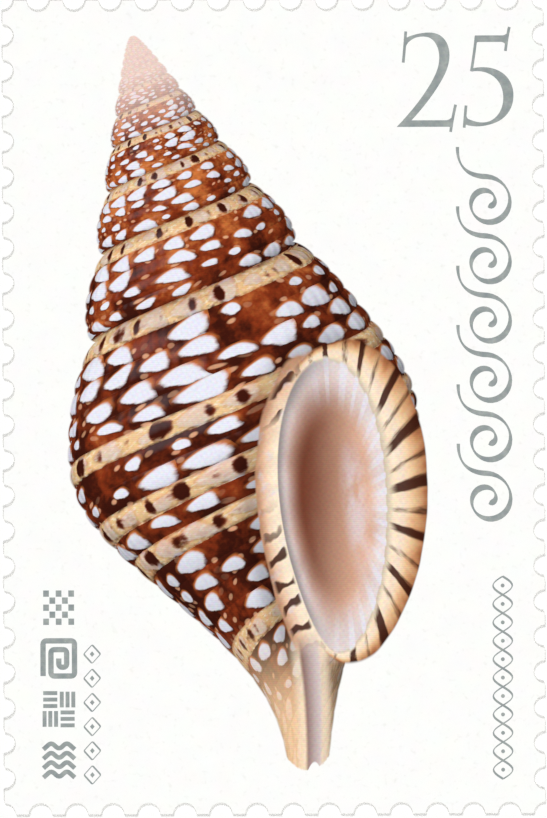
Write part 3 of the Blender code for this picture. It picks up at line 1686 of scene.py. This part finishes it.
@dataclass
class StampSheet:
    """The stamp itself: a closed sheet whose face is divided into its printed regions."""

    low: Vector
    high: Vector
    glue_height: float = 0.02 * MM
    glue_inset: float = 0.006 * MM
    rounding: float = 0.022 * MM
    rounding_steps: int = 4
    weld: float = 1e-8
    plan: FacePlan = field(default_factory=FacePlan)
    layout: BakeLayout = field(default_factory=BakeLayout)
    paper: Paper = field(default_factory=Paper)
    screen: Screen = field(default_factory=Screen)
    vertices: list[tuple[float, ...]] = field(default_factory=list)
    faces: list[list[int]] = field(default_factory=list)
    layers: list[Layer] = field(default_factory=list)

    def levels(self) -> list[Point]:
        """The rings of the edge, from the back to the face.

        Returns:
            Each ring's height and inset.
        """
        found = [(self.low.z, self.glue_inset), (self.low.z + self.glue_height, 0.0)]
        for step in range(self.rounding_steps + 1):
            angle = QUARTER_TURN * step / self.rounding_steps
            height = self.high.z - self.rounding * (1 - math.sin(angle))
            found.append((height, self.rounding * (1 - math.cos(angle))))
        return found

    def fill(
        self, ring: Sequence[Point], regions: Sequence[tuple[Layer, Outline]], bare: Layer
    ) -> tuple[Outline, list[list[int]], list[Layer]]:
        """Fills a ring with triangles that keep to the regions' outlines.

        Args:
            ring: The outer outline, counter-clockwise.
            regions: The finish and outline of each region inside it.
            bare: The finish where no region is.

        Returns:
            The points added inside the ring, the triangles, whose numbers go on from the
            ring's own points, and each triangle's finish.
        """
        points = [Vector(point) for point in ring]
        loops = [list(range(len(ring)))]
        for _, outline in regions:
            start = len(points)
            points += [Vector((x * MM, y * MM)) for x, y in outline]
            loops.append(list(range(start, len(points))))
        result = delaunay_2d_cdt(points, [], loops, 1, self.weld)
        found, _, triangles, origins, _, owners = result
        numbers = {}
        added: Outline = []
        for number, sources in enumerate(origins):
            edge = [source for source in sources if source < len(ring)]
            numbers[number] = edge[0] if edge else len(ring) + len(added)
            if not edge:
                added.append((found[number].x, found[number].y))
        layers = []
        for owner in owners:
            inks = [regions[number - 1][0] for number in owner if number]
            layers.append(max(inks, key=lambda layer: layer.value) if inks else bare)
        return added, [[numbers[corner] for corner in face] for face in triangles], layers

    def cap(self, ring: Sequence[Point], base: int, is_face: bool) -> None:
        """Closes the sheet with its face or its back.

        Args:
            ring: The ring that is filled.
            base: The number of the ring's first vertex.
            is_face: Whether it is the face, which looks up, and not the back.
        """
        bare, regions = (Layer.PAPER, self.plan.regions()) if is_face else (Layer.BACK, [])
        added, triangles, found = self.fill(ring, regions, bare)
        shift = len(self.vertices) - len(ring)
        self.vertices += [(*point, self.vertices[base][2]) for point in added]
        for triangle in triangles:
            corners = [corner + (base if corner < len(ring) else shift) for corner in triangle]
            self.faces.append(corners if is_face else corners[::-1])
        self.layers += found

    def build(self) -> bpy.types.Object:
        """Builds the sheet's mesh.

        Returns:
            The stamp, without its materials.
        """
        size = self.high - self.low
        outline = Perforation(size.x, size.y).outline()
        middle = (self.high + self.low).to_2d() / 2
        levels, count = self.levels(), len(outline)
        rings = [
            [tuple(middle + point.place - point.outward * inset) for point in outline]
            for _, inset in levels
        ]
        self.vertices += [(*at, z) for ring, (z, _) in zip(rings, levels) for at in ring]
        top_base = (len(rings) - 1) * count
        for base in range(0, top_base, count):
            for number in range(count):
                low_edge = [base + number, base + (number + 1) % count]
                self.faces.append(low_edge + [corner + count for corner in low_edge[::-1]])
                self.layers.append(Layer.EDGE)
        self.cap(rings[-1], top_base, True)
        self.cap(rings[0], 0, False)

        mesh = bpy.data.meshes.new("stamp_sheet")
        mesh.from_pydata(self.vertices, [], self.faces)
        smooth = [layer is Layer.EDGE for layer in self.layers]
        mesh.polygons.foreach_set("material_index", [layer.value for layer in self.layers])
        mesh.polygons.foreach_set("use_smooth", smooth)
        self.unwrap(mesh, count)
        sheet = bpy.data.objects.new("stamp_sheet", mesh)
        bpy.context.scene.collection.objects.link(sheet)
        return sheet

    def unwrap(self, mesh: bpy.types.Mesh, count: int) -> None:
        """Lays the sheet out for baking: the face takes most of the map.

        Args:
            mesh: The sheet's mesh.
            count: How many points one ring of the edge has.
        """
        bake = mesh.uv_layers.new(name=BAKE_MAP)
        length = (self.high - self.low).y
        for polygon in mesh.polygons:
            layer = Layer(polygon.material_index)
            left, low, share = self.layout.back if layer is Layer.BACK else self.layout.face
            for corner in polygon.loop_indices:
                vertex = mesh.loops[corner].vertex_index
                if layer is Layer.EDGE:
                    first = polygon.vertices[0] % count
                    bake.data[corner].uv = self.layout.on_edge(vertex, first, count)
                else:
                    place = mesh.vertices[vertex].co
                    across = (place.x - self.low.x) / length * share
                    up = (place.y - self.low.y) / length * share
                    bake.data[corner].uv = (left + across, low + up)

    def dress(self, sheet: bpy.types.Object) -> None:
        """Gives the sheet its finishes, one material slot for each.

        Args:
            sheet: The stamp.
        """
        finishes = {
            Layer.PAPER: self.paper,
            Layer.PICTURE: ShellPrint(self.paper, self.screen),
            Layer.GREY_INK: GreyPrint(self.paper, self.screen),
            Layer.EDGE: CutEdge((self.low.z + self.glue_height) / MM),
            Layer.BACK: Adhesive(),
        }
        for layer in Layer:
            sheet.data.materials.append(finishes[layer].material())

    def make(self) -> bpy.types.Object:
        """Builds and dresses the stamp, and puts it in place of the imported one.

        Returns:
            The finished stamp.
        """
        sheet = self.build()
        self.dress(sheet)
        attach(sheet, "root")
        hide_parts("stamp")
        return sheet


@dataclass(frozen=True)
class Lamp:
    """A soft lamp far away: where it comes from, how strong it is, and how soft."""

    name: str
    comes_from: tuple[float, float, float]
    strength: float
    spread: float = 24.0

    def light(self) -> None:
        """Puts the lamp in the scene."""
        data = bpy.data.lights.new(self.name, "SUN")
        data.angle = math.radians(self.spread)
        data.energy = self.strength
        lamp = bpy.data.objects.new(self.name, data)
        lamp.location = self.comes_from
        lamp.rotation_euler = (-lamp.location).to_track_quat("-Z", "Y").to_euler()
        bpy.context.scene.collection.objects.link(lamp)


@dataclass(frozen=True)
class Studio:
    """The pale surface, the soft light and the camera above the stamp."""

    floor_size: float = 1.2
    floor_drop: float = 0.002 * MM
    floor_colour: Colour = display(248.2, 248.2, 247)
    floor_roughness: float = 0.9
    floor_gloss: float = 0.1
    grain_size: float = 0.8
    grain_depth: float = 0.01
    grain_height: float = 0.002
    grain_strength: float = 0.3
    sky_colour: Colour = (1.0, 1.0, 1.0, 1.0)
    sky_strength: float = 0.06
    lamps: tuple[Lamp, ...] = (
        Lamp("lower_lamp", (0.22, -0.61, 0.66), 2.23),
        Lamp("upper_lamp", (-0.19, 0.61, 0.66), 2.14),
    )
    lens: float = 200.0
    sensor: float = 36.0
    clip_start: float = 0.01
    view_height: float = 0.19373
    view_middle: Point = (-0.015 * MM, -0.088 * MM)
    roll: float = -0.17

    def floor(self) -> None:
        """The surface that the stamp lies on."""
        half = self.floor_size / 2
        corners = [(-half, -half), (half, -half), (half, half), (-half, half)]
        mesh = bpy.data.meshes.new("floor")
        mesh.from_pydata([(x, y, -self.floor_drop) for x, y in corners], [], [(0, 1, 2, 3)])
        floor = bpy.data.objects.new("floor", mesh)
        bpy.context.scene.collection.objects.link(floor)
        board = Board("floor", self.floor_gloss)
        grain = board.grains(self.grain_size, 0.0, 3.0)
        shade = grain * self.grain_depth + (1 - self.grain_depth / 2)
        colour, relief = Tint(board, self.floor_colour).shaded(shade), grain * self.grain_height
        finish = board.finish(colour, self.floor_roughness, relief, self.grain_strength)
        mesh.materials.append(finish)

    def light(self) -> None:
        """An even pale sky, and soft lamps beyond the picture's lower and upper edges."""
        world = bpy.data.worlds.new("sky")
        world.use_nodes = True
        sky = world.node_tree.nodes["Background"]
        sky.inputs["Color"].default_value = self.sky_colour
        sky.inputs["Strength"].default_value = self.sky_strength
        bpy.context.scene.world = world
        for lamp in self.lamps:
            lamp.light()

    def camera(self) -> None:
        """A long lens that looks straight down on the stamp."""
        data = bpy.data.cameras.new("camera")
        data.lens = self.lens
        data.sensor_width = self.sensor
        data.clip_start = self.clip_start
        camera = bpy.data.objects.new("camera", data)
        camera.location = (*self.view_middle, self.view_height + CAD_BOUNDS[1].z)
        camera.rotation_euler = (0.0, 0.0, math.radians(self.roll))
        bpy.context.scene.collection.objects.link(camera)
        bpy.context.scene.camera = camera

    def make(self) -> None:
        """Sets up everything round the stamp, with plain display colours."""
        self.floor()
        self.light()
        self.camera()
        bpy.context.scene.view_settings.view_transform = "Standard"


def main() -> None:
    """Builds the stage and the stamp, and reports each piece."""
    logging.basicConfig(level=logging.INFO, format="%(name)s: %(message)s")
    Studio().make()
    LOG.info("stage: floor, lamps and camera")
    sheet = StampSheet(*CAD_BOUNDS).make()
    LOG.info("%s: %d faces", sheet.name, len(sheet.data.polygons))


if __name__ == "__main__":
    main()
